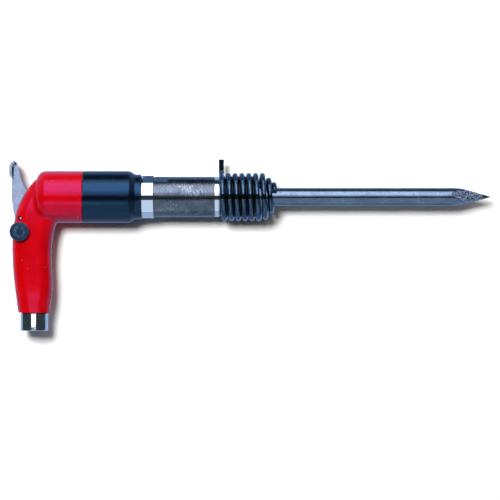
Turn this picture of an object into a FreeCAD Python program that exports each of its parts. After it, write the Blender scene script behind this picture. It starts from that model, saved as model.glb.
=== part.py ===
import FreeCAD, Part
import math
import os
import re

import Sketcher

# Pneumatic chipping hammer lying on its side.
# +X runs along the barrel to the chisel point, +Y from the air inlet up to the
# thumb lever, +Z out of the left cheek of the handle. Z = 0 is the plane the
# head and the exhaust sleeve lie on; X = Y = 0 is the middle of the outline.
# Millimetres and degrees throughout.

SIZES = {
    # Barrel axis: height above the outline's middle and above the ground plane.
    "axis_y": 51.2,
    "axis_z": 27.55,
    # Head: the round part of the handle casting that holds the barrel.
    "head_radius": 27.55,
    "head_rear": -227.3,
    "head_front": -178.3,
    "head_round": 10.0,
    "edge_break": 0.5,
    "crease_radius": 3.5,
    "head_bore": 20.85,
    "chest_floor": -212.0,
    # Grip passages, all on one vertical line.
    "inlet_x": -230.1,
    "grip_bottom": -71.8,
    "nipple_bore": 10.6,
    "nipple_bore_top": -52.0,
    "passage_bore": 7.5,
    "seat_top": -9.0,
    "chamber_bore": 5.2,
    "chamber_top": 8.0,
    "guide_bore": 4.5,
    # Lever slot and pivot.
    "slot_width": 7.0,
    "slot_floor": 22.0,
    "slot_front": -226.8,
    "slot_top": 84.0,
    "slot_rear": -262.0,
    "pivot_x": -244.6,
    "pivot_y": 28.7,
    "pivot_radius": 2.3,
    "pivot_length": 18.0,
    "pin_wall": 0.9,
    "pin_slit": 0.6,
    # Regulator boss and its drilling.
    "regulator_x": -244.6,
    "regulator_y": 14.2,
    "boss_radius": 9.4,
    "boss_face": 16.6,
    "plug_radius": 4.5,
    "plug_end": -9.2,
    "seal_pocket_radius": 6.1,
    "seal_pocket_floor": 14.4,
    "drilling_radius": 2.6,
    "drilling_side": 8.6,
    "drilling_length": 43.0,
    "running_gap": 0.06,
    "press_gap": 0.02,
    # Throttle lever.
    "lever_thickness": 6.0,
    "thumb_width": 20.0,
    "hollow_floor": 1.4,
    # Throttle valve.
    "stem_radius": 1.9,
    "stem_top": 25.35,
    "poppet_radius": 6.2,
    "poppet_top": -15.6,
    "poppet_bottom": -18.6,
    "spigot_radius": 2.4,
    "spigot_bottom": -21.6,
    "seat_bottom": -14.0,
    "throttle_wire": 0.9,
    "throttle_coil": 4.3,
    "throttle_turns": 6.0,
    # Inlet bushing.
    "hex_flats": 28.6,
    "hex_corner": 15.24,
    "hex_top": -72.9,
    "hex_bottom": -91.1,
    "hex_chamfer": 1.5,
    "nipple_radius": 10.5,
    "nipple_top": -53.0,
    "thread_wall": 7.4,
    "thread_depth": 15.0,
    "bushing_bore": 6.0,
    "gasket_radius": 13.6,
    # Inlet strainer.
    "mesh_radius": 6.3,
    "mesh_wall": 0.7,
    "mesh_top": -34.0,
    "rim_thickness": 1.0,
    "mesh_hole": 0.8,
    # Regulator.
    "knob_radius": 10.25,
    "knob_underside": 17.0,
    "knob_edge": 21.7,
    "knob_top": 23.7,
    "knob_socket": 3.1,
    "knob_bevel": 0.8,
    "knob_shoulder": 1.9,
    "knob_groove_outer": 5.4,
    "knob_groove_inner": 3.8,
    "knob_groove_depth": 0.7,
    "pointer_width": 1.0,
    "pointer_inner": 6.0,
    "pointer_outer": 9.0,
    "plug_neck": 3.0,
    "plug_top": 20.3,
    "screw_head": 3.3,
    "screw_shank": 1.5,
    "screw_slot": 0.8,
    "screw_turn": 25.0,
    # Valve chest, in the head bore behind the barrel.
    "chest_radius": 20.7,
    "cap_front": -204.0,
    "block_front": -196.0,
    "plate_front": -190.0,
    "valve_chamber": 12.5,
    "valve_radius": 12.4,
    "valve_length": 5.8,
    "valve_wall": 4.0,
    "port_circle": 15.8,
    "port_radius": 1.6,
    "dowel_circle": 17.4,
    "dowel_radius": 1.25,
    # Barrel.
    "nose_thread": 20.8,
    "barrel_step": -171.0,
    "barrel_neck": 20.0,
    "collar_rear": -115.9,
    "collar_radius": 22.6,
    "collar_front": -102.9,
    "barrel_radius": 21.5,
    "land_rear": -37.6,
    "land_front": -33.2,
    "land_radius": 21.2,
    "groove_width": 0.9,
    "groove_radius": 20.9,
    "root_radius": 20.0,
    "barrel_face": 6.5,
    "barrel_bore": 12.05,
    "bushing_seat": 13.0,
    "bushing_rear": -55.0,
    "flat_rear": -114.0,
    "flat_front": -88.2,
    "flat_distance": 20.6,
    "flat_angle": 26.0,
    "exhaust_x": -140.0,
    "exhaust_radius": 3.0,
    "return_circle": 16.6,
    "return_radius": 1.8,
    "return_end": -66.0,
    # Lock ring, snap ring and exhaust sleeve.
    "lock_radius": 24.0,
    "lock_rear": -178.0,
    "snap_rear": -175.4,
    "snap_front": -173.9,
    "snap_inner": 23.2,
    "snap_outer": 24.5,
    "sleeve_inner": 24.05,
    "sleeve_shoulder": -130.7,
    "sleeve_neck": -120.4,
    "sleeve_front": -116.5,
    "sleeve_curve": 8.01,
    "lip_outer": 23.8,
    "lip_inner": 22.9,
    # Front bushing, piston and chisel.
    "front_bushing_bore": 8.72,
    "piston_radius": 12.0,
    "piston_rear": -112.0,
    "piston_front": -62.1,
    "shank_rear": -62.0,
    "shank_radius": 8.65,
    "collar_back": 7.0,
    "collar_end": 14.5,
    "stop_radius": 13.2,
    "chisel_radius": 9.525,
    "chisel_tip": 256.2,
    "point_angle": 12.7,
    "point_turn": 18.0,
    # Retainer spring.
    "spring_wire": 5.4,
    "spring_radius": 23.0,
    "spring_pitch": 7.27,
    "spring_start": -31.1,
    "even_turns": 6.0,
    "cone_turns": 2.18,
    "cone_close": 2.0,
    "cone_tightening": 0.55,
    "spring_end_radius": 13.1,
    "tail_top": 39.9,
    "tail_bend": 5.0,
    "bend_steps": 6.0,
    "steps_per_turn": 30,
    # Ridge of the coarse thread that the spring is wound on to.
    "ridge_radius": 22.2,
    "ridge_root": 1.8,
    "ridge_crest": 0.8,
    "ridge_turns": 4.6,
}

# Grip and web sections, from the inlet end up:
# height, back edge, front edge, half width, corner radius.
GRIP_SECTIONS = [
    (-71.8, -246.9, -213.7, 15.6, 14.0),
    (-57.0, -249.1, -211.9, 16.2, 14.6),
    (-42.0, -251.0, -211.0, 16.6, 15.0),
    (-27.0, -252.4, -211.6, 16.5, 15.0),
    (-11.0, -253.2, -212.0, 16.4, 14.8),
    (4.0, -253.2, -211.1, 16.5, 14.6),
    (20.0, -251.8, -208.1, 16.6, 14.0),
    (33.0, -249.5, -203.5, 16.2, 13.0),
    (45.0, -245.2, -200.0, 15.4, 12.0),
    (58.2, -237.8, -200.0, 14.0, 11.0),
    (68.5, -229.5, -202.0, 12.0, 9.0),
    (74.5, -222.6, -208.0, 6.4, 5.0),
    (78.0, -219.2, -213.0, 3.0, 2.4),
]

# Outlines of the lever's plate and thumb strip and of the hollow between them,
# away from the pivot: along X, along Y and, where an arc leads on, its radius.
LEVER_PLATE = [
    (0.0, -6.0),
    (6.0, -3.2),
    (16.7, -3.2),
    (16.7, 1.0),
    (11.0, 12.0),
    (6.1, 29.5, 60.0),
    (-1.8, 51.1),
    (-3.4, 57.9),
    (-5.6, 58.8, 7.5),
    (-9.1, 53.6),
    (-9.1, 41.0, -150.0),
    (-9.4, 24.2, -124.0),
    (-6.0, 0.0, -6.0),
]
THUMB_STRIP = [
    (-8.2, 43.0),
    (-9.0, 46.3),
    (-9.0, 53.6, 7.5),
    (-5.0, 59.2),
    (-6.7, 61.1, -10.0),
    (-11.6, 54.3),
    (-11.6, 46.3),
    (-10.7, 43.2),
]
THUMB_HOLLOW = [
    (-8.9, 46.3),
    (-7.5, 43.4),
    (-7.4, 53.4, 9.0),
    (-4.2, 57.4),
    (-4.9, 58.9, -7.5),
    (-8.9, 53.6),
]

# Ways of the two air passages drilled from the regulator: up to the valve
# chest and down to the inlet.
CHEST_WAY = (36.6, 21.8, 0)
INLET_WAY = (14.5, -14.2, 0)

doc = FreeCAD.newDocument("AirHammer")
sheet = doc.addObject("Spreadsheet::Sheet", "Sizes")
parts = []


def fill_sheet():
    rows = dict(SIZES)
    names = ("level", "back", "front", "side", "corner")
    for number, section in enumerate(GRIP_SECTIONS):
        for name, value in zip(names, section):
            rows[f"grip_{name}_{number}"] = value
    for row, (alias, value) in enumerate(rows.items(), start=1):
        sheet.set(f"A{row}", alias)
        sheet.set(f"B{row}", str(value))
        sheet.setAlias(f"B{row}", alias)
    doc.recompute()


def cells(expression):
    """The expression with each word that is a cell's alias led by the sheet's name."""
    return re.sub(r"[a-z]\w*_\w+", lambda word: "Sizes." + word.group(0), str(expression))


def value(expression):
    return float(sheet.evalExpression(cells(expression)))


def bind(thing, path, expression):
    thing.setExpression(path, cells(expression))


def new_body(label, x="0", y="0", z="axis_z"):
    """An empty body whose own origin stands at x, y, z."""
    body = doc.addObject("PartDesign::Body", label)
    body.Label = label
    for axis, expression in zip("xyz", (x, y, z)):
        bind(body, f".Placement.Base.{axis}", expression)
    parts.append(body)
    return body


def on_axis(label):
    """An empty body whose X axis is the barrel's axis."""
    return new_body(label, y="axis_y")


def plane(body, role):
    return next(item for item in body.Origin.OriginFeatures if item.Role == role)


def new_sketch(body, role, turn=0.0, turn_axis=(1, 0, 0), shift=(0, 0, 0)):
    sketch = body.newObject("Sketcher::SketchObject", "Sketch")
    sketch.AttachmentSupport = [(plane(body, role), "")]
    sketch.MapMode = "FlatFace"
    rotation = FreeCAD.Rotation(FreeCAD.Vector(*turn_axis), turn)
    sketch.AttachmentOffset = FreeCAD.Placement(FreeCAD.Vector(0, 0, 0), rotation)
    for axis, expression in zip("xyz", shift):
        if expression != 0:
            bind(sketch, f".AttachmentOffset.Base.{axis}", expression)
    return sketch


def place_point(sketch, edge, end, corner):
    """Holds one end of an edge at a corner given as two expressions."""
    for kind, expression in zip(("DistanceX", "DistanceY"), corner):
        number = sketch.addConstraint(Sketcher.Constraint(kind, -1, 1, edge, end, value(expression)))
        bind(sketch, f"Constraints[{number}]", expression)


def arc_between(start, end, radius):
    """The arc from start to end, bulging left, or right where radius is negative."""
    chord = end - start
    left = FreeCAD.Vector(-chord.y, chord.x, 0).normalize()
    depth = math.sqrt(radius * radius - chord.Length ** 2 / 4)
    centre = (start + end) / 2 - left * math.copysign(depth, radius)
    first, last = (end, start) if radius > 0 else (start, end)
    angles = [math.atan2(point.y - centre.y, point.x - centre.x) for point in (first, last)]
    circle = Part.Circle(centre, FreeCAD.Vector(0, 0, 1), abs(radius))
    return Part.ArcOfCircle(circle, *angles)


def draw(sketch, corners):
    """A closed outline of straight edges; a corner's third item, where it has
    one, is the radius of the arc that leads on to the next corner, negative
    where the arc bulges to the right of the way there."""
    points = [FreeCAD.Vector(value(corner[0]), value(corner[1]), 0) for corner in corners]
    count = len(corners)
    for index, corner in enumerate(corners):
        start = points[index]
        end = points[(index + 1) % count]
        if len(corner) == 2:
            sketch.addGeometry(Part.LineSegment(start, end), False)
            continue
        sketch.addGeometry(arc_between(start, end, value(corner[2])), False)
    for index, corner in enumerate(corners):
        following = (index + 1) % count
        edge, next_edge = sketch.Geometry[index], sketch.Geometry[following]
        end = 2 if (edge.EndPoint - points[following]).Length < 1e-6 else 1
        start = 1 if (next_edge.StartPoint - points[following]).Length < 1e-6 else 2
        sketch.addConstraint(Sketcher.Constraint("Coincident", index, end, following, start))
    for index, corner in enumerate(corners):
        start = 1 if (sketch.Geometry[index].StartPoint - points[index]).Length < 1e-6 else 2
        place_point(sketch, index, start, corner)


def draw_circle(sketch, x, y, radius):
    circle = Part.Circle(FreeCAD.Vector(value(x), value(y), 0), FreeCAD.Vector(0, 0, 1), value(radius))
    edge = sketch.addGeometry(circle, False)
    number = sketch.addConstraint(Sketcher.Constraint("Radius", edge, value(radius)))
    bind(sketch, f"Constraints[{number}]", radius)
    place_point(sketch, edge, 3, (x, y))


def check(feature):
    doc.recompute()
    if any(word in feature.State for word in ("Invalid", "Error")):
        raise RuntimeError(f"{feature.Label} failed: {feature.State}")


def revolve(body, corners, about="H_Axis", role="XY_Plane", cut=False, shift=(0, 0, 0)):
    """A full turn of an outline about one of its sketch's axes."""
    before = 0.0 if body.Tip is None else body.Shape.Volume
    sketch = new_sketch(body, role, shift=shift)
    draw(sketch, corners)
    kind = "PartDesign::Groove" if cut else "PartDesign::Revolution"
    feature = body.newObject(kind, "Turn")
    feature.Profile = sketch
    feature.ReferenceAxis = (sketch, [about])
    feature.Angle = 360
    check(feature)
    if cut and body.Shape.Volume > before - 1e-3:
        raise RuntimeError(f"a groove in {body.Label} cuts nothing")
    return feature


def pad(body, sketch, length):
    feature = body.newObject("PartDesign::Pad", "Pad")
    feature.Profile = sketch
    feature.Midplane = True
    bind(feature, "Length", length)
    check(feature)
    return feature


def pocket(body, sketch, length, from_one_side=False, reversed_way=False):
    """A cut along the sketch's normal, to both sides alike unless told otherwise."""
    before = body.Shape.Volume
    feature = body.newObject("PartDesign::Pocket", "Pocket")
    feature.Profile = sketch
    feature.Midplane = not from_one_side
    feature.Reversed = reversed_way
    bind(feature, "Length", length)
    check(feature)
    if body.Shape.Volume > before - 1e-3:
        raise RuntimeError(f"a pocket in {body.Label} cuts nothing")
    return feature


def drill(body, start, way, radius, length):
    """A round hole from start, along way."""
    before = body.Shape.Volume
    hole = body.newObject("PartDesign::SubtractiveCylinder", "Drilling")
    hole.AttachmentSupport = [(plane(body, "XY_Plane"), "")]
    hole.MapMode = "FlatFace"
    rotation = FreeCAD.Rotation(FreeCAD.Vector(0, 0, 1), FreeCAD.Vector(*way))
    hole.AttachmentOffset = FreeCAD.Placement(FreeCAD.Vector(0, 0, 0), rotation)
    for axis, expression in zip("xyz", start):
        bind(hole, f".AttachmentOffset.Base.{axis}", expression)
    bind(hole, "Radius", radius)
    bind(hole, "Height", length)
    check(hole)
    if body.Shape.Volume > before - 1e-3:
        raise RuntimeError(f"a drilling in {body.Label} cuts nothing")
    return hole


def repeat_round(body, feature, axis, count, angle=360.0):
    pattern = body.newObject("PartDesign::PolarPattern", "Around")
    pattern.Originals = [feature]
    pattern.Axis = (plane(body, axis), [""])
    pattern.Occurrences = count
    pattern.Angle = angle
    body.Tip = pattern
    check(pattern)
    return pattern


def ring(label, rear, front, inner, outer):
    """A plain washer or tube on the barrel's axis."""
    body = on_axis(label)
    revolve(body, [(rear, inner), (front, inner), (front, outer), (rear, outer)])
    return body


def grip_section(body, number):
    """A rounded oblong across the grip at one level."""
    sketch = new_sketch(body, "XZ_Plane", shift=(0, 0, f"-grip_level_{number}"))
    back, front = f"grip_back_{number}", f"grip_front_{number}"
    side, corner = f"grip_side_{number}", f"grip_corner_{number}"
    draw(sketch, [
        (f"{back} + {corner}", f"-{side}"),
        (f"{front} - {corner}", f"-{side}", f"-{corner}"),
        (front, f"-{side} + {corner}"),
        (front, f"{side} - {corner}", f"-{corner}"),
        (f"{front} - {corner}", side),
        (f"{back} + {corner}", side, f"-{corner}"),
        (back, f"{side} - {corner}"),
        (back, f"-{side} + {corner}", f"-{corner}"),
    ])
    return sketch


def creases(shape):
    """Names of the edges where the grip's curved sides meet the round head."""
    found = []
    for number, edge in enumerate(shape.Edges, start=1):
        faces = shape.ancestorsOfType(edge, Part.Face)
        kinds = {type(face.Surface).__name__ for face in faces}
        on_head = edge.CenterOfMass.y > value("slot_floor")
        if on_head and len(kinds) == 2 and "BSplineSurface" in kinds:
            found.append(f"Edge{number}")
    return found


def handle_housing():
    body = new_body("handle_housing")
    sections = [grip_section(body, number) for number in range(len(GRIP_SECTIONS))]
    loft = body.newObject("PartDesign::AdditiveLoft", "Grip")
    loft.Profile = sections[0]
    loft.Sections = sections[1:]
    check(loft)
    head = revolve(body, [
        ("head_rear", "0"),
        ("head_front", "0"),
        ("head_front", "head_radius - edge_break"),
        ("head_front - edge_break", "head_radius"),
        ("head_rear + head_round", "head_radius", "-head_round"),
        ("head_rear", "head_radius - head_round"),
    ], shift=(0, "axis_y", 0))
    fillet = body.newObject("PartDesign::Fillet", "Creases")
    fillet.Base = (head, creases(head.Shape))
    bind(fillet, "Radius", "crease_radius")
    check(fillet)
    boss = new_sketch(body, "XY_Plane")
    draw_circle(boss, "regulator_x", "regulator_y", "boss_radius")
    feature = body.newObject("PartDesign::Pad", "Boss")
    feature.Profile = boss
    bind(feature, "Length", "boss_face")
    check(feature)
    revolve(body, [
        ("chest_floor", "0"),
        ("head_front + 1", "0"),
        ("head_front + 1", "head_bore"),
        ("chest_floor", "head_bore"),
    ], cut=True, shift=(0, "axis_y", 0))
    revolve(body, [
        ("0", "grip_bottom - 1"),
        ("nipple_bore", "grip_bottom - 1"),
        ("nipple_bore", "nipple_bore_top"),
        ("passage_bore", "nipple_bore_top"),
        ("passage_bore", "seat_top"),
        ("chamber_bore", "seat_top"),
        ("chamber_bore", "chamber_top"),
        ("guide_bore", "chamber_top"),
        ("guide_bore", "slot_floor + 1"),
        ("0", "slot_floor + 1"),
    ], about="V_Axis", cut=True, shift=("inlet_x", 0, 0))
    slot = new_sketch(body, "XY_Plane")
    draw(slot, [
        ("slot_rear", "slot_floor"),
        ("slot_front", "slot_floor"),
        ("slot_front", "slot_top"),
        ("slot_rear", "slot_top"),
    ])
    pocket(body, slot, "slot_width")
    pivot = new_sketch(body, "XY_Plane")
    draw_circle(pivot, "pivot_x", "pivot_y", "pivot_radius")
    pocket(body, pivot, "4 * head_radius")
    revolve(body, [
        ("0", "plug_end"),
        ("plug_radius + running_gap", "plug_end"),
        ("plug_radius + running_gap", "seal_pocket_floor"),
        ("seal_pocket_radius", "seal_pocket_floor"),
        ("seal_pocket_radius", "boss_face + 1"),
        ("0", "boss_face + 1"),
    ], about="V_Axis", role="XZ_Plane", cut=True, shift=("regulator_x", 0, "-regulator_y"))
    upper = ("regulator_x", "regulator_y", "drilling_side")
    drill(body, upper, CHEST_WAY, "drilling_radius", "drilling_length")
    lower = ("regulator_x", "regulator_y", "0")
    drill(body, lower, INLET_WAY, "drilling_radius", "regulator_y - grip_level_5")
    return body


def lever_pivot_pin():
    """A rolled spring pin, sunk a little below both cheeks of the handle."""
    body = new_body("lever_pivot_pin")
    sketch = new_sketch(body, "XY_Plane")
    draw_circle(sketch, "pivot_x", "pivot_y", "pivot_radius")
    draw_circle(sketch, "pivot_x", "pivot_y", "pivot_radius - pin_wall")
    pad(body, sketch, "pivot_length")
    slit = new_sketch(body, "XY_Plane")
    draw(slit, [
        ("pivot_x - pin_slit / 2", "pivot_y - 2 * pivot_radius"),
        ("pivot_x + pin_slit / 2", "pivot_y - 2 * pivot_radius"),
        ("pivot_x + pin_slit / 2", "pivot_y - pin_wall"),
        ("pivot_x - pin_slit / 2", "pivot_y - pin_wall"),
    ])
    pocket(body, slit, "2 * pivot_length")
    return body


def lever_outline(body, points, **placing):
    """A sketch of an outline that is given away from the lever's pivot."""
    sketch = new_sketch(body, "XY_Plane", **placing)
    draw(sketch, [(f"pivot_x + {x}", f"pivot_y + {y}", *radius) for x, y, *radius in points])
    return sketch


def throttle_lever():
    """A plate in the handle's slot with a bent thumb strip along its top."""
    body = new_body("throttle_lever")
    pad(body, lever_outline(body, LEVER_PLATE), "lever_thickness")
    pad(body, lever_outline(body, THUMB_STRIP), "thumb_width")
    for way, from_below in (("hollow_floor", False), ("-hollow_floor", True)):
        hollow = lever_outline(body, THUMB_HOLLOW, shift=(0, 0, way))
        pocket(body, hollow, "lever_thickness", from_one_side=True, reversed_way=not from_below)
    hole = new_sketch(body, "XY_Plane")
    draw_circle(hole, "pivot_x", "pivot_y", "pivot_radius + 0.1")
    pocket(body, hole, "2 * thumb_width")
    return body


def upright(label, corners):
    """A turned piece on the grip's upright line; corners are radius, height."""
    body = new_body(label, x="inlet_x")
    revolve(body, corners, about="V_Axis")
    return body


def throttle_pieces():
    upright("throttle_valve", [
        ("0", "spigot_bottom"),
        ("spigot_radius", "spigot_bottom"),
        ("spigot_radius", "poppet_bottom"),
        ("poppet_radius", "poppet_bottom"),
        ("poppet_radius", "poppet_top"),
        ("stem_radius", "poppet_top"),
        ("stem_radius", "stem_top - 1.2"),
        ("0", "stem_top"),
    ])
    upright("throttle_valve_seal", [
        ("stem_radius", "poppet_top"),
        ("poppet_radius - 0.3", "poppet_top"),
        ("poppet_radius - 0.3", "seat_bottom - 0.2"),
        ("stem_radius", "seat_bottom - 0.2"),
    ])
    upright("throttle_valve_seat", [
        ("guide_bore - 0.3", "seat_bottom"),
        ("passage_bore - press_gap", "seat_bottom"),
        ("passage_bore - press_gap", "seat_top"),
        ("guide_bore - 0.3", "seat_top"),
    ])
    upright("throttle_stem_bushing", [
        ("stem_radius + running_gap", "chamber_top"),
        ("guide_bore - press_gap", "chamber_top"),
        ("guide_bore - press_gap", "slot_floor - 0.3"),
        ("stem_radius + running_gap", "slot_floor - 0.3"),
    ])


def wound_wire(label, line, wire, axis, x, y):
    """Round wire along a line of points wound about axis: a ring at each point,
    square to the way there, joined by straight-sided faces."""
    rings = []
    last = len(line) - 1
    for index, point in enumerate(line):
        way = line[min(index + 1, last)] - line[max(index - 1, 0)]
        way.normalize()
        side = axis - way * axis.dot(way)
        side.normalize()
        frame = FreeCAD.Rotation(side, way.cross(side), way, "ZXY")
        circle = Part.makeCircle(wire / 2)
        circle.Placement = FreeCAD.Placement(point, frame)
        rings.append(circle)
    faces = [Part.makeRuledSurface(first, second) for first, second in zip(rings, rings[1:])]
    faces += [Part.Face(Part.Wire([end])) for end in (rings[0], rings[-1])]
    shell = Part.makeShell(faces)
    shell.sewShape()
    spring = doc.addObject("Part::Feature", label)
    spring.Label = label
    spring.Shape = Part.makeSolid(shell)
    spring.Placement = FreeCAD.Placement(
        FreeCAD.Vector(value(x), value(y), value("axis_z")), FreeCAD.Rotation())
    parts.append(spring)


def throttle_valve_spring():
    """A light coil between the strainer's end and the poppet's underside."""
    wire, radius = value("throttle_wire"), value("throttle_coil")
    turns, steps = value("throttle_turns"), int(value("steps_per_turn"))
    bottom = value("mesh_top") + wire / 2 + 0.1
    height = value("poppet_bottom") - value("mesh_top") - wire - 0.2
    line = []
    for step in range(int(turns * steps) + 1):
        angle = 2 * math.pi * step / steps
        rise = bottom + height * step / (turns * steps)
        line.append(FreeCAD.Vector(radius * math.cos(angle), rise, radius * math.sin(angle)))
    wound_wire("throttle_valve_spring", line, wire, FreeCAD.Vector(0, 1, 0), "inlet_x", "0")


def inlet_bushing():
    body = upright("inlet_bushing", [
        ("thread_wall", "hex_bottom"),
        ("hex_corner - hex_chamfer", "hex_bottom"),
        ("hex_corner", "hex_bottom + 0.6 * hex_chamfer"),
        ("hex_corner", "hex_top"),
        ("nipple_radius", "hex_top"),
        ("nipple_radius", "nipple_top"),
        ("bushing_bore", "nipple_top"),
        ("bushing_bore", "hex_bottom + thread_depth"),
        ("thread_wall", "hex_bottom + thread_depth"),
    ])
    beside_flat = new_sketch(body, "XY_Plane")
    draw(beside_flat, [
        ("hex_flats / 2", "hex_bottom - 1"),
        ("hex_flats", "hex_bottom - 1"),
        ("hex_flats", "hex_top + 0.5"),
        ("hex_flats / 2", "hex_top + 0.5"),
    ])
    flat = pocket(body, beside_flat, "2 * hex_flats")
    repeat_round(body, flat, "Y_Axis", 6)
    return body


def inlet_pieces():
    upright("inlet_gasket", [
        ("nipple_radius + 0.1", "hex_top"),
        ("gasket_radius", "hex_top"),
        ("gasket_radius", "grip_bottom"),
        ("nipple_radius + 0.1", "grip_bottom"),
    ])
    body = upright("inlet_strainer", [
        ("mesh_radius - mesh_wall", "nipple_top"),
        ("nipple_radius - 0.1", "nipple_top"),
        ("nipple_radius - 0.1", "nipple_top + rim_thickness"),
        ("mesh_radius", "nipple_top + rim_thickness"),
        ("mesh_radius", "mesh_top"),
        ("0", "mesh_top"),
        ("0", "mesh_top - mesh_wall"),
        ("mesh_radius - mesh_wall", "mesh_top - mesh_wall"),
    ])
    holes = new_sketch(body, "XY_Plane")
    for row in range(5):
        draw_circle(holes, "0", f"nipple_top + {row + 1} * 3", "mesh_hole")
    column = pocket(body, holes, "4 * mesh_radius")
    repeat_round(body, column, "Y_Axis", 6, angle=150.0)


def across(label, corners):
    """A turned piece on the regulator's line; corners are radius, distance out."""
    body = new_body(label, x="regulator_x", y="regulator_y")
    revolve(body, corners, about="V_Axis", role="XZ_Plane")
    return body


def regulator_pieces():
    plug = across("regulator_plug", [
        ("0", "plug_end + 0.2"),
        ("plug_radius", "plug_end + 0.2"),
        ("plug_radius", "knob_underside - 0.1"),
        ("plug_neck", "knob_underside - 0.1"),
        ("plug_neck", "plug_top"),
        ("screw_shank", "plug_top"),
        ("screw_shank", "knob_underside - 1"),
        ("0", "knob_underside - 1"),
    ])
    bore = ("0", "0", "plug_end")
    drill(plug, bore, (0, 0, 1), "drilling_radius - 0.4", "drilling_side - plug_end + 1")
    upper = ("0", "0", "drilling_side")
    drill(plug, upper, CHEST_WAY, "drilling_radius - 0.5", "2 * plug_radius")
    lower = ("0", "0", "0")
    drill(plug, lower, INLET_WAY, "drilling_radius - 0.5", "2 * plug_radius")
    knob = across("regulator_knob", [
        ("knob_socket", "knob_underside"),
        ("knob_radius - knob_bevel", "knob_underside"),
        ("knob_radius", "knob_underside + knob_bevel"),
        ("knob_radius", "knob_edge", "-2.6"),
        ("knob_radius - knob_shoulder", "knob_top - 0.4"),
        ("knob_groove_outer", "knob_top"),
        ("knob_groove_outer - 0.4", "knob_top - knob_groove_depth"),
        ("knob_groove_inner + 0.4", "knob_top - knob_groove_depth"),
        ("knob_groove_inner", "knob_top"),
        ("screw_head + 0.15", "knob_top"),
        ("screw_head + 0.15", "plug_top + 1.2"),
        ("knob_socket", "plug_top + 1.2"),
    ])
    pointer = new_sketch(knob, "XY_Plane", shift=(0, 0, "knob_top - 0.5"))
    draw(pointer, [
        ("0 - pointer_width / 2", "pointer_inner"),
        ("pointer_width / 2", "pointer_inner"),
        ("pointer_width / 2", "pointer_outer"),
        ("0 - pointer_width / 2", "pointer_outer"),
    ])
    pocket(knob, pointer, "knob_top - knob_underside", from_one_side=True, reversed_way=True)
    screw = across("regulator_screw", [
        ("0", "knob_underside - 0.5"),
        ("screw_shank - press_gap", "knob_underside - 0.5"),
        ("screw_shank - press_gap", "plug_top + 1.25"),
        ("screw_head", "plug_top + 1.25"),
        ("screw_head", "knob_top - 0.6"),
        ("screw_head - 0.6", "knob_top - 0.1"),
        ("0", "knob_top - 0.1"),
    ])
    slot = new_sketch(screw, "XY_Plane", turn=value("screw_turn"), turn_axis=(0, 0, 1),
                      shift=(0, 0, "knob_top - 1.1"))
    draw(slot, [
        ("0 - 2 * screw_head", "0 - screw_slot / 2"),
        ("2 * screw_head", "0 - screw_slot / 2"),
        ("2 * screw_head", "screw_slot / 2"),
        ("0 - 2 * screw_head", "screw_slot / 2"),
    ])
    pocket(screw, slot, "screw_head", from_one_side=True, reversed_way=True)
    seal = doc.addObject("Part::Torus", "regulator_o_ring")
    seal.Label = "regulator_o_ring"
    bind(seal, "Radius1", "(plug_radius + seal_pocket_radius) / 2")
    bind(seal, "Radius2", "(seal_pocket_radius - plug_radius) / 2 - press_gap")
    bind(seal, ".Placement.Base.x", "regulator_x")
    bind(seal, ".Placement.Base.y", "regulator_y")
    bind(seal, ".Placement.Base.z", "axis_z + (seal_pocket_floor + boss_face) / 2")
    parts.append(seal)


def ports(body, x_expression, length, radius, circle, count, turn=0.0):
    """Holes along the barrel's axis, evenly round it."""
    sketch = new_sketch(body, "YZ_Plane", turn=turn, turn_axis=(0, 0, 1), shift=(0, 0, x_expression))
    draw_circle(sketch, circle, "0", radius)
    hole = pocket(body, sketch, length, from_one_side=True, reversed_way=True)
    repeat_round(body, hole, "X_Axis", count)


def valve_chest():
    cap = on_axis("valve_chest_cap")
    revolve(cap, [
        ("chest_floor", "0"),
        ("cap_front", "0"),
        ("cap_front", "chest_radius"),
        ("chest_floor", "chest_radius"),
    ])
    block = ring("valve_block", "cap_front", "block_front", "valve_chamber", "chest_radius")
    plate_piece = ring("valve_seat_plate", "block_front", "plate_front", "port_radius * 3", "chest_radius")
    spool = ring("distributor_valve", "cap_front + 0.2", "cap_front + 0.2 + valve_length",
                 "valve_radius - valve_wall", "valve_radius")
    ports(spool, "cap_front", "2 * valve_length", "port_radius * 0.7", "valve_radius - valve_wall / 2", 4)
    for body, start in ((cap, "chest_floor - 1"), (block, "cap_front - 1"), (plate_piece, "block_front - 1")):
        ports(body, start, "12", "port_radius", "port_circle", 6, turn=30.0)
        ports(body, start, "12", "dowel_radius", "dowel_circle", 2, turn=0.0)
    pins = []
    for side in (1, -1):
        pin = doc.addObject("Part::Cylinder", "Dowel")
        bind(pin, "Radius", "dowel_radius - press_gap")
        bind(pin, "Height", "plate_front - chest_floor - 2")
        pin.Placement.Rotation = FreeCAD.Rotation(FreeCAD.Vector(0, 1, 0), 90)
        bind(pin, ".Placement.Base.x", "chest_floor + 1")
        bind(pin, ".Placement.Base.y", f"axis_y + {side} * dowel_circle")
        bind(pin, ".Placement.Base.z", "axis_z")
        pins.append(pin)
    both = doc.addObject("Part::Compound", "valve_dowel_pins")
    both.Label = "valve_dowel_pins"
    both.Links = pins
    parts.append(both)


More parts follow.
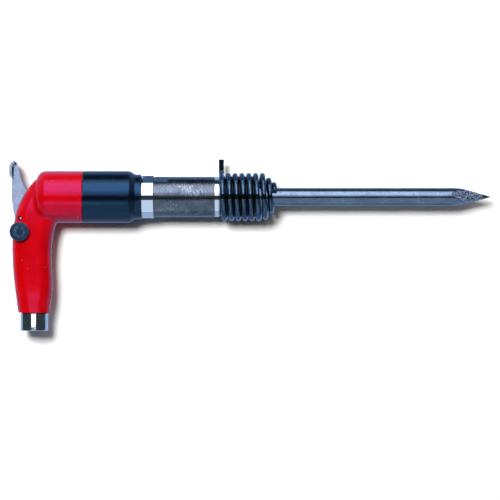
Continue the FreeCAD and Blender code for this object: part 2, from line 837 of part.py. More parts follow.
def barrel():
    body = on_axis("barrel")
    revolve(body, [
        ("plate_front", "barrel_bore"),
        ("bushing_rear", "barrel_bore"),
        ("bushing_rear", "bushing_seat"),
        ("barrel_face", "bushing_seat"),
        ("barrel_face", "root_radius - 1"),
        ("barrel_face - 1", "root_radius"),
        ("land_front", "root_radius"),
        ("land_front", "land_radius - edge_break"),
        ("land_front - edge_break", "land_radius"),
        ("land_rear", "land_radius"),
        ("land_rear", "groove_radius"),
        ("land_rear - groove_width", "groove_radius"),
        ("land_rear - groove_width", "barrel_radius"),
        ("collar_front + groove_width", "barrel_radius"),
        ("collar_front + groove_width", "groove_radius"),
        ("collar_front", "groove_radius"),
        ("collar_front", "collar_radius - edge_break"),
        ("collar_front - edge_break", "collar_radius"),
        ("collar_rear + edge_break", "collar_radius"),
        ("collar_rear", "collar_radius - edge_break"),
        ("collar_rear", "barrel_neck"),
        ("barrel_step", "barrel_neck"),
        ("barrel_step", "nose_thread"),
        ("plate_front + 1", "nose_thread"),
        ("plate_front", "nose_thread - 1"),
    ])
    beyond_flat = new_sketch(body, "XY_Plane", turn=value("flat_angle"))
    draw(beyond_flat, [
        ("flat_rear", "flat_distance"),
        ("flat_front", "flat_distance"),
        ("flat_front", "head_radius"),
        ("flat_rear", "head_radius"),
    ])
    flat = pocket(body, beyond_flat, "4 * barrel_radius")
    repeat_round(body, flat, "X_Axis", 2)
    exhaust = new_sketch(body, "XY_Plane")
    draw_circle(exhaust, "exhaust_x", "0", "exhaust_radius")
    cross_hole = pocket(body, exhaust, "4 * barrel_radius")
    repeat_round(body, cross_hole, "X_Axis", 3, angle=120.0)
    ports(body, "plate_front - 1", "return_end - plate_front", "return_radius", "return_circle", 2, turn=45.0)
    ridge = new_sketch(body, "XY_Plane")
    start = "spring_start + spring_pitch / 2"
    draw(ridge, [
        (f"{start} - ridge_root / 2", "root_radius - 0.3"),
        (f"{start} + ridge_root / 2", "root_radius - 0.3"),
        (f"{start} + ridge_crest / 2", "ridge_radius"),
        (f"{start} - ridge_crest / 2", "ridge_radius"),
    ])
    thread = body.newObject("PartDesign::AdditiveHelix", "SpringThread")
    thread.Profile = ridge
    thread.ReferenceAxis = (ridge, ["H_Axis"])
    thread.Mode = "pitch-turns-angle"
    bind(thread, "Pitch", "spring_pitch")
    bind(thread, "Turns", "ridge_turns")
    check(thread)
    return body


def sleeve_pieces():
    lock = ring("barrel_lock_ring", "lock_rear", "barrel_step", "nose_thread + press_gap", "lock_radius")
    revolve(lock, [
        ("snap_rear", "snap_inner - press_gap"),
        ("snap_front", "snap_inner - press_gap"),
        ("snap_front", "lock_radius + 1"),
        ("snap_rear", "lock_radius + 1"),
    ], cut=True)
    ring("sleeve_snap_ring", "snap_rear + 0.03", "snap_front - 0.03", "snap_inner", "snap_outer")
    sleeve = on_axis("exhaust_sleeve")
    revolve(sleeve, [
        ("lock_rear", "sleeve_inner"),
        ("sleeve_shoulder", "sleeve_inner"),
        ("sleeve_neck", "lip_inner"),
        ("sleeve_front", "lip_inner"),
        ("sleeve_front", "lip_outer"),
        ("sleeve_neck", "lip_outer", "sleeve_curve"),
        ("(sleeve_neck + sleeve_shoulder) / 2", "(lip_outer + head_radius) / 2", "-sleeve_curve"),
        ("sleeve_shoulder", "head_radius"),
        ("lock_rear + edge_break", "head_radius"),
        ("lock_rear", "head_radius - edge_break"),
    ])
    revolve(sleeve, [
        ("snap_rear", "sleeve_inner - 1"),
        ("snap_front", "sleeve_inner - 1"),
        ("snap_front", "snap_outer + 0.1"),
        ("snap_rear", "snap_outer + 0.1"),
    ], cut=True)


def striking_pieces():
    ring("front_bushing", "bushing_rear + press_gap", "barrel_face", "front_bushing_bore",
         "bushing_seat - press_gap")
    piston = on_axis("piston")
    revolve(piston, [
        ("piston_rear", "0"),
        ("piston_front", "0"),
        ("piston_front", "piston_radius - 1.5"),
        ("piston_front - 1.5", "piston_radius"),
        ("piston_rear + 1", "piston_radius"),
        ("piston_rear", "piston_radius - 1"),
    ])
    for groove in (12, 24):
        revolve(piston, [
            (f"piston_rear + {groove}", "piston_radius - 0.6"),
            (f"piston_rear + {groove} + 1.2", "piston_radius - 0.6"),
            (f"piston_rear + {groove} + 1.2", "piston_radius + 1"),
            (f"piston_rear + {groove}", "piston_radius + 1"),
        ], cut=True)


def chisel():
    """A moil point: round shank, stop collar, round stock and a four-sided point."""
    body = on_axis("chisel")
    turned = FreeCAD.Rotation(FreeCAD.Vector(1, 0, 0), -value("point_turn"))
    body.Placement = FreeCAD.Placement(body.Placement.Base, turned)
    revolve(body, [
        ("shank_rear", "0"),
        ("shank_rear", "shank_radius - 1.2"),
        ("shank_rear + 1.2", "shank_radius"),
        ("collar_back", "shank_radius"),
        ("collar_back", "stop_radius - 0.8"),
        ("collar_back + 0.8", "stop_radius"),
        ("collar_end - 2", "stop_radius"),
        ("collar_end", "stop_radius - 2", "-3"),
        ("collar_end + 1.8", "chisel_radius"),
        ("chisel_tip", "chisel_radius"),
        ("chisel_tip", "0"),
    ])
    over_facet = new_sketch(body, "XY_Plane")
    draw(over_facet, [
        ("chisel_tip - 1.2 * chisel_radius / tan(point_angle)", "1.2 * chisel_radius"),
        ("chisel_tip + 1", "0 - 1 * tan(point_angle)"),
        ("chisel_tip + 1", "1.2 * chisel_radius"),
    ])
    facet = pocket(body, over_facet, "6 * chisel_radius")
    repeat_round(body, facet, "X_Axis", 4)
    return body


def spring_line():
    """The middle of the retainer spring's wire: a tail, even turns on the
    barrel's thread and a closing cone of turns in front of them."""
    radius, start = value("spring_radius"), value("spring_start")
    bend, steps = value("tail_bend"), int(value("steps_per_turn"))
    line = [FreeCAD.Vector(start, value("tail_top"), -bend)]
    for step in range(int(value("bend_steps"))):
        angle = math.pi / 2 * step / value("bend_steps")
        line.append(FreeCAD.Vector(start, radius + bend * (1 - math.sin(angle)), -bend * math.cos(angle)))
    turns = value("even_turns") + value("cone_turns")
    for step in range(int(round(turns * steps)) + 1):
        turn = step / steps
        past = max(turn - value("even_turns"), 0.0)
        swell = 0.5 * (1 + math.cos(math.pi * min(past / value("cone_close"), 1.0)))
        reach = value("spring_end_radius") + (radius - value("spring_end_radius")) * swell
        along = start + value("spring_pitch") * turn - value("cone_tightening") * past * past
        angle = 2 * math.pi * turn
        line.append(FreeCAD.Vector(along, reach * math.cos(angle), reach * math.sin(angle)))
    return line


def retainer_spring():
    wound_wire("retainer_spring", spring_line(), value("spring_wire"), FreeCAD.Vector(1, 0, 0),
               "0", "axis_y")


def check_parts():
    doc.recompute()
    for thing in doc.Objects:
        if any(word in thing.State for word in ("Invalid", "Error")):
            raise RuntimeError(f"{thing.Label} failed: {thing.State}")
    for part in parts:
        if part.Shape.isNull() or not part.Shape.isValid():
            raise RuntimeError(f"{part.Label} has no valid shape")


def export_parts():
    os.makedirs("parts", exist_ok=True)
    for part in parts:
        part.Shape.exportStep(os.path.join("parts", f"{part.Label}.step"))


fill_sheet()
handle_housing()
lever_pivot_pin()
throttle_lever()
throttle_pieces()
throttle_valve_spring()
inlet_bushing()
inlet_pieces()
regulator_pieces()
valve_chest()
barrel()
sleeve_pieces()
striking_pieces()
chisel()
retainer_spring()
check_parts()
export_parts()
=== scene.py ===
import math

import bpy
from mathutils import Matrix, Vector


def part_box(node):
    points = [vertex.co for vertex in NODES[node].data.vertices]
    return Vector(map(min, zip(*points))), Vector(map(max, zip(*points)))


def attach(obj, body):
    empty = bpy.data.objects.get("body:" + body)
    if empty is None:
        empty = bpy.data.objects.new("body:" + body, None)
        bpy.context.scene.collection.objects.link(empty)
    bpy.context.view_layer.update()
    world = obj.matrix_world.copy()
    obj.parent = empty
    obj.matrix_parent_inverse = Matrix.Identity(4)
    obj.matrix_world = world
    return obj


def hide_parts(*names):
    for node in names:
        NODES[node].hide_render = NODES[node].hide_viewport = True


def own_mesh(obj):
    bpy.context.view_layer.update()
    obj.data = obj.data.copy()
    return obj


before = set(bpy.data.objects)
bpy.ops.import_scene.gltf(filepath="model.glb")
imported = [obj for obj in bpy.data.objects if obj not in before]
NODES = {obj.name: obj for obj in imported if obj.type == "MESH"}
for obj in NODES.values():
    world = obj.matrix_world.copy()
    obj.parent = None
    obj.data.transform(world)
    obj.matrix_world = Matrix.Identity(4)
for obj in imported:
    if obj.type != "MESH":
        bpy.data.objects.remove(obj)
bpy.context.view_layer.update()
MM = 0.001

# Where the tool's main lines lie, read from the CAD nodes.
SLEEVE_LOW, SLEEVE_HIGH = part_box("exhaust_sleeve")
AXIS_Y = (SLEEVE_LOW[1] + SLEEVE_HIGH[1]) / 2
AXIS_Z = (SLEEVE_LOW[2] + SLEEVE_HIGH[2]) / 2
KNOB_LOW, KNOB_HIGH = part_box("regulator_knob")
KNOB_MIDDLE = ((KNOB_LOW[0] + KNOB_HIGH[0]) / 2, (KNOB_LOW[1] + KNOB_HIGH[1]) / 2)
KNOB_RADIUS = (KNOB_HIGH[0] - KNOB_LOW[0]) / 2
HEX_LOW, HEX_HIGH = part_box("inlet_bushing")
HEAD_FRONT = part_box("handle_housing")[1][0]
CHISEL_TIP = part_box("chisel")[1][0]
SPRING_OUTER = AXIS_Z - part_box("retainer_spring")[0][2]

# Where the hexagon meets the gasket, where the chisel's facets begin, and its stock's radius.
HEX_TOP = -72.9 * MM
FACET_START = CHISEL_TIP - 46.0 * MM
CHISEL_RADIUS = 9.525 * MM

# The barrel's polished collar and front land, along X.
COLLAR = (-116.5 * MM, -102.6 * MM)
COLLAR_RADIUS = 22.6 * MM
LAND = (-37.8 * MM, -33.0 * MM)

# The rubbed ring on the knob's face, a little wider than the groove: inner and outer radius.
KNOB_RING = (3.0 * MM, 6.0 * MM)

# The hollow between the lever's plate and its thumb strip, where the lever's finish paints shade.
HOLLOW_X = (-253.6 * MM, -248.4 * MM)
HOLLOW_Y = (71.9 * MM, 87.7 * MM)
HOLLOW_Z = (AXIS_Z - 2.8 * MM, AXIS_Z + 2.8 * MM)

# Camera: straight above, far away, so that the tool shows almost without perspective.
MIDDLE = Vector((-0.54 * MM, -5.27 * MM, AXIS_Z))
VIEW_WIDTH = 532.5 * MM
CAMERA_HEIGHT = 3.0
SENSOR = 36.0

# Facets that meet at more than this stay a hard edge.
SHARP_ANGLE = math.radians(28)

# Scratches: how far their noise is drawn out, and how wide a line is kept of it.
SCRATCH_STRETCH = (1.0, 0.12, 1.0)
SCRATCH_WIDTH = 0.035

FLOOR_HALF = 4.0

# Lights: how far off the panels stand, and the colours.
PANEL_DISTANCE = 1.6
CORE_DISTANCE = PANEL_DISTANCE - 0.1
PANEL_BLUE = (0.92, 1.0, 1.28)
CARD_BLUE = (0.8, 1.0, 1.32)
FILL_WARM = (1.0, 0.97, 0.94)

# Surroundings: stops of the ramp over |X times Y| above the horizon and of the ramp over Y
# below it, then the heights where the horizon starts and ends and how it tilts along Y.
CORNER_DARK = (0.08, (0.03, 0.04, 0.05))
CORNER_PALE = (0.3, (0.27, 0.34, 0.43))
BELOW_MIDDLE = (0.0, (0.32, 0.46, 0.70))
BELOW_SIDE = (1.0, (0.26, 0.50, 1.0))
HORIZON = (-0.12, -0.38)
HORIZON_TILT = 0.25


def make_camera():
    data = bpy.data.cameras.new("view_camera")
    data.sensor_width = SENSOR
    data.lens = SENSOR * CAMERA_HEIGHT / VIEW_WIDTH
    camera = bpy.data.objects.new("view_camera", data)
    camera.location = MIDDLE + Vector((0, 0, CAMERA_HEIGHT))
    bpy.context.scene.collection.objects.link(camera)
    bpy.context.scene.camera = camera


class Nodes:
    """Short ways to add and join the nodes of a tree; place is its texture coordinate."""

    def __init__(self, tree, coordinate):
        self.tree = tree
        self.place = tree.nodes.new("ShaderNodeTexCoord").outputs[coordinate]

    def feed(self, socket, value):
        """Set a socket to a number, or join an output to it."""
        if isinstance(value, (int, float)):
            socket.default_value = value
        else:
            self.tree.links.new(value, socket)

    def math(self, operation, *values):
        """A math node; the values are numbers or outputs."""
        node = self.tree.nodes.new("ShaderNodeMath")
        node.operation = operation
        for socket, value in zip(node.inputs, values):
            self.feed(socket, value)
        return node.outputs["Value"]

    def step(self, value, start, end, low=0.0, high=1.0, shape="SMOOTHSTEP"):
        """low up to start, high from end on, and smooth in between."""
        node = self.tree.nodes.new("ShaderNodeMapRange")
        node.interpolation_type = shape
        for name, number in (("From Min", start), ("From Max", end), ("To Min", low), ("To Max", high)):
            node.inputs[name].default_value = number
        self.feed(node.inputs["Value"], value)
        return node.outputs["Result"]

    def along(self, axis):
        """The place along X, Y or Z."""
        node = self.tree.nodes.new("ShaderNodeSeparateXYZ")
        self.feed(node.inputs["Vector"], self.place)
        return node.outputs[axis]

    def ramp(self, value, start, first, end, second):
        """The colour first up to start, second from end on, and a mix in between."""
        node = self.tree.nodes.new("ShaderNodeValToRGB")
        for element, position, color in zip(node.color_ramp.elements, (start, end), (first, second)):
            element.position = position
            element.color = (*color, 1.0)
        self.feed(node.inputs["Fac"], value)
        return node.outputs["Color"]

    def blend(self, amount, first, second):
        """first where amount is 0, second where it is 1; colours or outputs."""
        node = self.tree.nodes.new("ShaderNodeMix")
        node.data_type = "RGBA"
        self.feed(node.inputs["Factor"], amount)
        for name, color in (("A", first), ("B", second)):
            socket = next(item for item in node.inputs if item.name == name and item.type == "RGBA")
            if isinstance(color, tuple):
                socket.default_value = (*color, 1.0)
            else:
                self.feed(socket, color)
        return next(item for item in node.outputs if item.type == "RGBA")


class Finish(Nodes):
    """A principled material. The colour and roughness it starts with are its plain values;
    to_shader puts a pattern in their place."""

    def __init__(self, name, color, metallic, roughness, **sockets):
        self.material = bpy.data.materials.new(name)
        self.material.use_nodes = True
        super().__init__(self.material.node_tree, "Object")
        self.shader = self.tree.nodes["Principled BSDF"]
        self.shader.inputs["Base Color"].default_value = (*color, 1.0)
        self.shader.inputs["Metallic"].default_value = metallic
        self.shader.inputs["Roughness"].default_value = roughness
        for socket, value in sockets.items():
            self.shader.inputs[socket.replace("_", " ")].default_value = value

    def to_shader(self, socket, output):
        self.feed(self.shader.inputs[socket], output)

    def within(self, value, low, high, soft):
        """1 between low and high, 0 outside, over a soft edge."""
        rise = self.step(value, low - soft, low + soft)
        fall = self.step(value, high - soft, high + soft)
        return self.math("SUBTRACT", rise, fall)

    def distance(self, first_axis, second_axis, middle):
        """How far the place is from a line that runs along the third axis."""
        squares = []
        for axis, centre in zip((first_axis, second_axis), middle):
            away = self.math("SUBTRACT", self.along(axis), centre)
            squares.append(self.math("MULTIPLY", away, away))
        return self.math("SQRT", self.math("ADD", *squares))

    def noise(self, scale, detail=3.0, roughness=0.5, stretch=None, turn=0.0):
        """A noise field from 0 to 1. stretch squeezes the pattern along X, Y and Z, and turn
        then turns it about Z, in degrees."""
        place = self.place
        if stretch is not None:
            mapping = self.tree.nodes.new("ShaderNodeMapping")
            mapping.inputs["Rotation"].default_value = (0.0, 0.0, math.radians(turn))
            mapping.inputs["Scale"].default_value = stretch
            self.feed(mapping.inputs["Vector"], place)
            place = mapping.outputs["Vector"]
        node = self.tree.nodes.new("ShaderNodeTexNoise")
        for name, number in (("Scale", scale), ("Detail", detail), ("Roughness", roughness)):
            node.inputs[name].default_value = number
        self.feed(node.inputs["Vector"], place)
        return node.outputs["Fac"]

    def patches(self, start, end, scale, detail=4.0, roughness=0.5, stretch=None):
        """1 where a noise is above end, 0 where it is below start: the higher the two,
        the fewer and smaller the patches."""
        return self.step(self.noise(scale, detail, roughness, stretch), start, end)

    def clouds(self, scale, detail=4.0, roughness=0.5, stretch=None):
        """Soft patches over about half of the surface."""
        return self.patches(0.35, 0.65, scale, detail, roughness, stretch)

    def spread(self, low, high, field):
        """A noise field's middle values, spread from low to high."""
        return self.step(field, 0.3, 0.7, low, high)

    def scratches(self, turn, scale=420.0):
        """Thin straight lines in one direction, here and there."""
        field = self.noise(scale, detail=1.0, stretch=SCRATCH_STRETCH, turn=turn)
        line = self.math("ABSOLUTE", self.math("SUBTRACT", field, 0.5))
        thin = self.step(line, 0.0, SCRATCH_WIDTH, 1.0, 0.0)
        return self.math("MULTIPLY", thin, self.patches(0.50, 0.60, 60.0, detail=5.0, roughness=0.75))

    def bump(self, height, strength, distance):
        node = self.tree.nodes.new("ShaderNodeBump")
        node.inputs["Strength"].default_value = strength
        node.inputs["Distance"].default_value = distance
        self.feed(node.inputs["Height"], height)
        self.to_shader("Normal", node.outputs["Normal"])


def red_enamel():
    """Gloss red enamel over a sand casting: orange peel, some dirt, a few chips and a
    worn front edge."""
    finish = Finish("red_enamel", (0.5, 0.0003, 0.0005), metallic=0.0, roughness=0.2,
                    Specular_IOR_Level=0.7, Specular_Tint=(0.25, 0.22, 0.85, 1.0))
    color = finish.blend(finish.clouds(55.0), (0.48, 0.0003, 0.0004), (0.54, 0.0005, 0.0007))
    dirt = finish.patches(0.72, 0.78, 190.0, roughness=0.6)
    color = finish.blend(dirt, color, (0.30, 0.0006, 0.001))
    chips = finish.patches(0.725, 0.755, 330.0, detail=3.0, roughness=0.6)
    front = finish.step(finish.along("X"), HEAD_FRONT - 1.6 * MM, HEAD_FRONT - 0.3 * MM)
    rubbed = finish.math("MULTIPLY", front, finish.patches(0.60, 0.66, 130.0))
    bare = finish.math("MAXIMUM", chips, rubbed)
    finish.to_shader("Base Color", finish.blend(bare, color, (0.70, 0.50, 0.56)))
    finish.to_shader("Roughness", finish.spread(0.15, 0.22, finish.noise(300.0)))
    peel = finish.math("ADD", finish.noise(420.0, detail=2.0), finish.math("MULTIPLY", bare, -1.0))
    finish.bump(peel, strength=0.35, distance=0.1 * MM)
    return finish.material


def zinc_plate():
    """Tumbled, zinc-plated lever steel: blue-grey with a fine speckle; painted shade, near black and
    with little gloss, in the hollow beside the thumb strip."""
    finish = Finish("lever_steel", (0.25, 0.32, 0.46), metallic=0.35, roughness=0.5)
    color = finish.blend(finish.clouds(160.0, detail=5.0, roughness=0.65),
                         (0.26, 0.33, 0.48), (0.34, 0.42, 0.58))
    bright = finish.patches(0.60, 0.68, 900.0, detail=2.0)
    color = finish.blend(bright, color, (0.52, 0.62, 0.80))
    pits = finish.patches(0.68, 0.74, 620.0, detail=3.0)
    color = finish.blend(pits, color, (0.09, 0.12, 0.21))
    # Painted shade: the hollow beside the thumb strip is made near black with its gloss turned down,
    # standing in for the strip's shadow on the plate.
    hollow = finish.math("MULTIPLY", finish.within(finish.along("X"), *HOLLOW_X, 0.1 * MM),
                         finish.within(finish.along("Y"), *HOLLOW_Y, 0.1 * MM))
    sunk = finish.within(finish.along("Z"), *HOLLOW_Z, 0.2 * MM)
    painted_shade = finish.math("MULTIPLY", hollow, sunk)
    finish.to_shader("Base Color", finish.blend(painted_shade, color, (0.001, 0.001, 0.002)))
    finish.to_shader("Specular IOR Level", finish.step(painted_shade, 0.0, 1.0, 0.5, 0.02))
    finish.to_shader("Roughness", finish.spread(0.38, 0.6, finish.noise(480.0)))
    finish.bump(finish.noise(800.0), strength=0.5, distance=0.08 * MM)
    return finish.material


def blued_sleeve():
    """Satin black sleeve with a blue sheen, a fine grain and worn rims."""
    finish = Finish("black_sleeve", (0.001, 0.001, 0.002), metallic=0.0, roughness=0.24,
                    Specular_IOR_Level=0.9, Specular_Tint=(0.2, 0.55, 1.0, 1.0))
    x = finish.along("X")
    rear = finish.within(x, SLEEVE_LOW[0] - MM, SLEEVE_LOW[0] + 0.5 * MM, 0.4 * MM)
    lip = finish.within(x, SLEEVE_HIGH[0] - 0.4 * MM, SLEEVE_HIGH[0] + MM, 0.3 * MM)
    rims = finish.math("MULTIPLY", finish.math("MAXIMUM", rear, lip),
                       finish.patches(0.5, 0.62, 300.0))
    finish.to_shader("Base Color", finish.blend(rims, (0.001, 0.001, 0.002), (0.10, 0.12, 0.16)))
    finish.to_shader("Roughness", finish.spread(0.2, 0.27, finish.noise(260.0, detail=4.0)))
    finish.bump(finish.noise(700.0, detail=2.0), strength=0.12, distance=0.04 * MM)
    return finish.material


def black_knob():
    """Slate-blue oxide on the knob, rubbed lighter round the groove and the rim."""
    finish = Finish("black_knob", (0.006, 0.014, 0.035), metallic=0.0, roughness=0.42,
                    Specular_IOR_Level=0.8, Specular_Tint=(0.4, 0.7, 1.0, 1.0))
    reach = finish.distance("X", "Y", KNOB_MIDDLE)
    ring = finish.within(reach, *KNOB_RING, 0.5 * MM)
    rim = finish.within(reach, KNOB_RADIUS - 0.7 * MM, KNOB_RADIUS + MM, 0.5 * MM)
    worn = finish.math("MULTIPLY", finish.math("MAXIMUM", ring, rim),
                       finish.patches(0.42, 0.60, 420.0, detail=5.0, roughness=0.7))
    base = finish.blend(finish.clouds(260.0), (0.004, 0.009, 0.024), (0.009, 0.020, 0.046))
    finish.to_shader("Base Color", finish.blend(worn, base, (0.06, 0.10, 0.18)))
    finish.to_shader("Roughness", finish.step(worn, 0.0, 1.0, 0.5, 0.32))
    finish.bump(finish.noise(900.0), strength=0.45, distance=0.08 * MM)
    return finish.material


def barrel_steel():
    """Turned barrel: lathe marks and scratches, with a polished collar and front land, rougher milled
    flats, and nearly black from just in front of the land forward, under the spring."""
    finish = Finish("barrel_steel", (0.17, 0.17, 0.18), metallic=1.0, roughness=0.2)
    x = finish.along("X")
    reach = finish.distance("Y", "Z", (AXIS_Y, AXIS_Z))
    collar = finish.math("MULTIPLY", finish.within(x, *COLLAR, 0.1 * MM),
                         finish.step(reach, COLLAR_RADIUS - 0.35 * MM, COLLAR_RADIUS - 0.25 * MM))
    polished = finish.math("MAXIMUM", collar, finish.within(x, *LAND, 0.1 * MM))
    body = finish.blend(finish.clouds(70.0, detail=5.0, roughness=0.6),
                        (0.105, 0.125, 0.135), (0.165, 0.175, 0.19))
    speckle = finish.patches(0.52, 0.68, 620.0, detail=3.0, roughness=0.6)
    body = finish.blend(speckle, body, (0.07, 0.085, 0.09))
    rings = finish.noise(120.0, detail=4.0, roughness=0.7, stretch=(9.0, 0.15, 0.15))
    body = finish.blend(finish.step(rings, 0.5, 0.9), body, (0.075, 0.085, 0.095))
    scratched = finish.math("MAXIMUM", finish.scratches(84.0), finish.scratches(-8.0, 500.0))
    body = finish.blend(scratched, body, (0.33, 0.34, 0.37))
    # Nearly black from just in front of the land forward, where the spring wraps the barrel.
    body = finish.blend(finish.step(x, LAND[1] + 0.4 * MM, LAND[1] + 1.2 * MM), body,
                        (0.012, 0.014, 0.018))
    finish.to_shader("Base Color", finish.blend(polished, body, (0.86, 0.88, 0.90)))
    matte = finish.spread(0.17, 0.28, rings)
    smooth = finish.math("SUBTRACT", 1.0, finish.math("MULTIPLY", polished, 0.78))
    finish.to_shader("Roughness", finish.math("MULTIPLY", matte, smooth))
    height = finish.math("ADD", finish.math("MULTIPLY", rings, smooth),
                         finish.math("MULTIPLY", scratched, -0.6))
    finish.bump(height, strength=0.18, distance=0.06 * MM)
    return finish.material


def spring_wire():
    """Glossy black oxide wire, rubbed a little where it stands out furthest."""
    finish = Finish("spring_steel", (0.07, 0.12, 0.17), metallic=1.0, roughness=0.14)
    reach = finish.distance("Y", "Z", (AXIS_Y, AXIS_Z))
    outer = finish.step(reach, SPRING_OUTER - 0.8 * MM, SPRING_OUTER)
    worn = finish.math("MULTIPLY", outer, finish.patches(0.56, 0.68, 150.0, detail=5.0, roughness=0.7))
    base = finish.blend(finish.clouds(90.0), (0.05, 0.09, 0.135), (0.09, 0.145, 0.20))
    finish.to_shader("Base Color", finish.blend(worn, base, (0.16, 0.2, 0.25)))
    finish.to_shader("Roughness", finish.spread(0.10, 0.17, finish.noise(200.0)))
    finish.bump(finish.noise(500.0, detail=2.0), strength=0.08, distance=0.03 * MM)
    return finish.material


def chisel_steel():
    """Hardened blue-grey stock with mill scale; ground facets and a darkened tip."""
    finish = Finish("chisel_steel", (0.2, 0.24, 0.28), metallic=1.0, roughness=0.22)
    x = finish.along("X")
    broad = finish.clouds(75.0, detail=5.0, roughness=0.65, stretch=(0.5, 1.0, 1.0))
    stock = finish.blend(broad, (0.14, 0.185, 0.22), (0.185, 0.235, 0.275))
    spots = finish.patches(0.60, 0.70, 330.0, roughness=0.6)
    stock = finish.blend(spots, stock, (0.085, 0.12, 0.16))
    marks = finish.math("MAXIMUM", finish.scratches(80.0), finish.scratches(30.0, 500.0))
    stock = finish.blend(finish.math("MULTIPLY", marks, 0.3), stock, (0.4, 0.45, 0.5))
    reach = finish.distance("Y", "Z", (AXIS_Y, AXIS_Z))
    off_round = finish.step(reach, CHISEL_RADIUS - 0.3 * MM, CHISEL_RADIUS - 0.08 * MM, 1.0, 0.0)
    ground = finish.math("MULTIPLY", off_round, finish.step(x, FACET_START - MM, FACET_START))
    grit = finish.noise(1100.0, detail=2.0, roughness=0.6)
    facet = finish.blend(finish.step(grit, 0.50, 0.56), (0.02, 0.04, 0.07), (0.60, 0.72, 0.82))
    color = finish.blend(ground, stock, facet)
    tip = finish.step(x, CHISEL_TIP - 12.0 * MM, CHISEL_TIP - 5.0 * MM)
    finish.to_shader("Base Color", finish.blend(tip, color, (0.006, 0.008, 0.014)))
    smooth = finish.spread(0.16, 0.26, finish.noise(260.0, detail=4.0))
    rough = finish.math("MULTIPLY", ground, finish.spread(0.08, 0.2, grit))
    finish.to_shader("Roughness", finish.math("ADD", smooth, rough))
    fine = finish.math("MULTIPLY", finish.noise(1000.0, detail=2.0), 0.25)
    height = finish.math("ADD", fine, finish.math("MULTIPLY", ground, grit))
    finish.bump(height, strength=0.35, distance=0.06 * MM)
    return finish.material


def chrome_plate():
    """Bright chrome with a light haze and a few fine marks."""
    finish = Finish("chrome_plate", (0.85, 0.88, 0.92), metallic=1.0, roughness=0.08)
    color = finish.blend(finish.clouds(140.0), (0.80, 0.83, 0.88), (0.9, 0.92, 0.95))
    finish.to_shader("Base Color", finish.blend(finish.scratches(50.0), color, (0.5, 0.53, 0.58)))
    finish.to_shader("Roughness", finish.spread(0.05, 0.13, finish.noise(200.0, detail=4.0)))
    finish.bump(finish.noise(500.0, detail=2.0), strength=0.08, distance=0.03 * MM)
    return finish.material


def plain_metal(name, dark, light):
    """Turned or ground metal, mottled between two colours: the inner pieces, and the pin, whose
    near-black colours are painted shade for its dark hole.
    """
    finish = Finish(name, light, metallic=1.0, roughness=0.3)
    finish.to_shader("Base Color", finish.blend(finish.clouds(120.0), dark, light))
    marks = finish.noise(260.0, detail=4.0, roughness=0.6, stretch=(5.0, 0.5, 0.5))
    finish.to_shader("Roughness", finish.spread(0.22, 0.4, marks))
    finish.bump(marks, strength=0.2, distance=0.05 * MM)
    return finish.material


def rubber():
    """Black rubber with a dusty bloom."""
    finish = Finish("black_rubber", (0.012, 0.012, 0.013), metallic=0.0, roughness=0.7)
    dusty = finish.patches(0.5, 0.75, 300.0)
    finish.to_shader("Base Color", finish.blend(dusty, (0.012, 0.012, 0.013), (0.04, 0.04, 0.042)))
    finish.to_shader("Roughness", finish.spread(0.6, 0.8, finish.noise(600.0)))
    finish.bump(finish.noise(1200.0), strength=0.3, distance=0.05 * MM)
    return finish.material


def dress(material, *names):
    """Give CAD nodes a material and smooth shading with hard edges kept."""
    for name in names:
        thing = NODES[name]
        thing.data.materials.clear()
        thing.data.materials.append(material)
        for polygon in thing.data.polygons:
            polygon.use_smooth = True
        thing.data.set_sharp_from_angle(angle=SHARP_ANGLE)


def dress_everything():
    dress(red_enamel(), "handle_housing")
    dress(zinc_plate(), "throttle_lever")
    dress(blued_sleeve(), "exhaust_sleeve")
    dress(black_knob(), "regulator_knob", "regulator_screw")
    dress(barrel_steel(), "barrel")
    dress(spring_wire(), "retainer_spring")
    dress(chisel_steel(), "chisel")
    dress(chrome_plate(), "inlet_bushing")
    dress(plain_metal("inner_steel", (0.36, 0.37, 0.39), (0.52, 0.53, 0.55)),
          "throttle_valve", "throttle_valve_spring", "regulator_plug", "valve_chest_cap",
          "valve_block", "valve_seat_plate", "distributor_valve", "valve_dowel_pins",
          "barrel_lock_ring", "sleeve_snap_ring", "front_bushing", "piston")
    dress(plain_metal("brass", (0.56, 0.38, 0.14), (0.72, 0.52, 0.22)), "throttle_valve_seat",
          "throttle_stem_bushing", "inlet_strainer")
    # The pivot pin's near-black colours are painted shade: they stand in for the dark pin hole.
    dress(plain_metal("pin_painted_shade", (0.002, 0.002, 0.003), (0.006, 0.006, 0.008)), "lever_pivot_pin")
    dress(rubber(), "throttle_valve_seal", "inlet_gasket", "regulator_o_ring")


def make_valve_spring():
    """A copy of the throttle valve's spring with a mesh of its own, hung on the hammer's body in place
    of the hidden CAD node.
    """
    solid = NODES["throttle_valve_spring"]
    spring = bpy.data.objects.new("valve_return_spring", solid.data.copy())
    bpy.context.scene.collection.objects.link(spring)
    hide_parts("throttle_valve_spring")
    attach(spring, "hammer")
    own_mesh(spring)


def make_floor():
    """A plain pale floor that doesn't show in the gloss of the tool."""
    corners = [(x * FLOOR_HALF, y * FLOOR_HALF, 0) for x, y in ((-1, -1), (1, -1), (1, 1), (-1, 1))]
    mesh = bpy.data.meshes.new("floor")
    mesh.from_pydata(corners, [], [(0, 1, 2, 3)])
    floor = bpy.data.objects.new("floor", mesh)
    bpy.context.scene.collection.objects.link(floor)
    finish = Finish("pale_floor", (0.95, 0.95, 0.95), metallic=0.0, roughness=0.9,
                    Specular_IOR_Level=0.0)
    floor.data.materials.append(finish.material)
    floor.visible_glossy = False


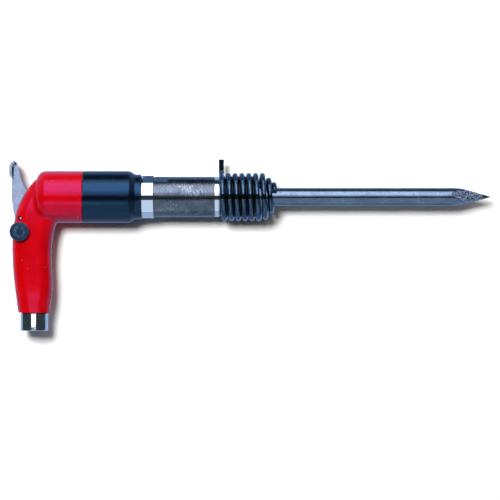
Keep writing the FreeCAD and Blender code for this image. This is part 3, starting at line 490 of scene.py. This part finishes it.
def area_light(name, direction, distance, width, height, radiance, color=(1, 1, 1),
               middle=MIDDLE, lights_surfaces=True, shows_in_gloss=True):
    """A rectangular light that faces middle from a direction; its width runs along X."""
    data = bpy.data.lights.new(name, "AREA")
    data.shape = "RECTANGLE"
    data.size, data.size_y = width, height
    data.energy = radiance * math.pi * width * height
    data.color = color
    light = bpy.data.objects.new(name, data)
    way = Vector(direction).normalized()
    side = (Vector((1, 0, 0)) - way * way.x).normalized()
    turn = Matrix((side, way.cross(side), way)).transposed()
    light.matrix_world = Matrix.LocRotScale(middle + way * distance, turn, None)
    light.visible_camera = False
    light.visible_diffuse = lights_surfaces
    light.visible_glossy = shows_in_gloss
    bpy.context.scene.collection.objects.link(light)


def from_above(angle):
    """The direction that leans angle degrees from straight up towards +Y."""
    return (0, math.sin(math.radians(angle)), math.cos(math.radians(angle)))


def panel_height(distance, half_angle):
    """The height of a panel that spans half_angle either way, seen from distance."""
    return 2 * distance * math.tan(math.radians(half_angle))


def make_lights():
    """Three panels and a strip that only gloss shows, then a key and a fill that only light
    surfaces."""
    area_light("softbox", from_above(44.5), distance=PANEL_DISTANCE, width=1.5,
               height=panel_height(PANEL_DISTANCE, 35.5), radiance=1.3, color=PANEL_BLUE,
               lights_surfaces=False)
    area_light("softbox_core", from_above(46), distance=CORE_DISTANCE, width=1.0,
               height=panel_height(PANEL_DISTANCE, 20), radiance=1.3, color=PANEL_BLUE,
               lights_surfaces=False)
    area_light("white_card", from_above(-53), distance=PANEL_DISTANCE, width=1.3,
               height=panel_height(PANEL_DISTANCE, 37), radiance=0.66, color=CARD_BLUE,
               lights_surfaces=False)
    over_hex = Vector(((HEX_LOW[0] + HEX_HIGH[0]) / 2, (HEX_LOW[1] + HEX_TOP) / 2, AXIS_Z))
    area_light("hex_strip", (0, 0, 1), distance=0.25, width=0.17, height=0.022, radiance=2.0,
               middle=over_hex, lights_surfaces=False)
    area_light("key", (-0.24, 0.27, 0.93), distance=4.4, width=1.1, height=1.1, radiance=58.0,
               shows_in_gloss=False)
    area_light("fill", (0, 0.55, 0.85), distance=2.2, width=3.6, height=3.2, radiance=0.6,
               color=FILL_WARM, shows_in_gloss=False)


def make_surroundings():
    """What gloss shows where there is no panel: dark straight along X and Y and pale in the
    four corners above; blue from below, deeper towards +Y, with an edge that is lower on the
    +Y side. It doesn't light surfaces."""
    world = bpy.data.worlds.new("studio")
    world.use_nodes = True
    sky = Nodes(world.node_tree, "Generated")
    x, y, z = (sky.along(axis) for axis in "XYZ")
    corner = sky.math("ABSOLUTE", sky.math("MULTIPLY", x, y))
    above = sky.ramp(corner, *CORNER_DARK, *CORNER_PALE)
    below = sky.ramp(y, *BELOW_MIDDLE, *BELOW_SIDE)
    tilted = sky.math("MULTIPLY_ADD", y, HORIZON_TILT, z)
    share = sky.step(tilted, *HORIZON, shape="LINEAR")
    sky.feed(sky.tree.nodes["Background"].inputs["Color"], sky.blend(share, above, below))
    bpy.context.scene.world = world
    world.cycles_visibility.diffuse = False


dress_everything()
make_valve_spring()
make_floor()
make_lights()
make_surroundings()
make_camera()
bpy.context.scene.view_settings.view_transform = "Standard"
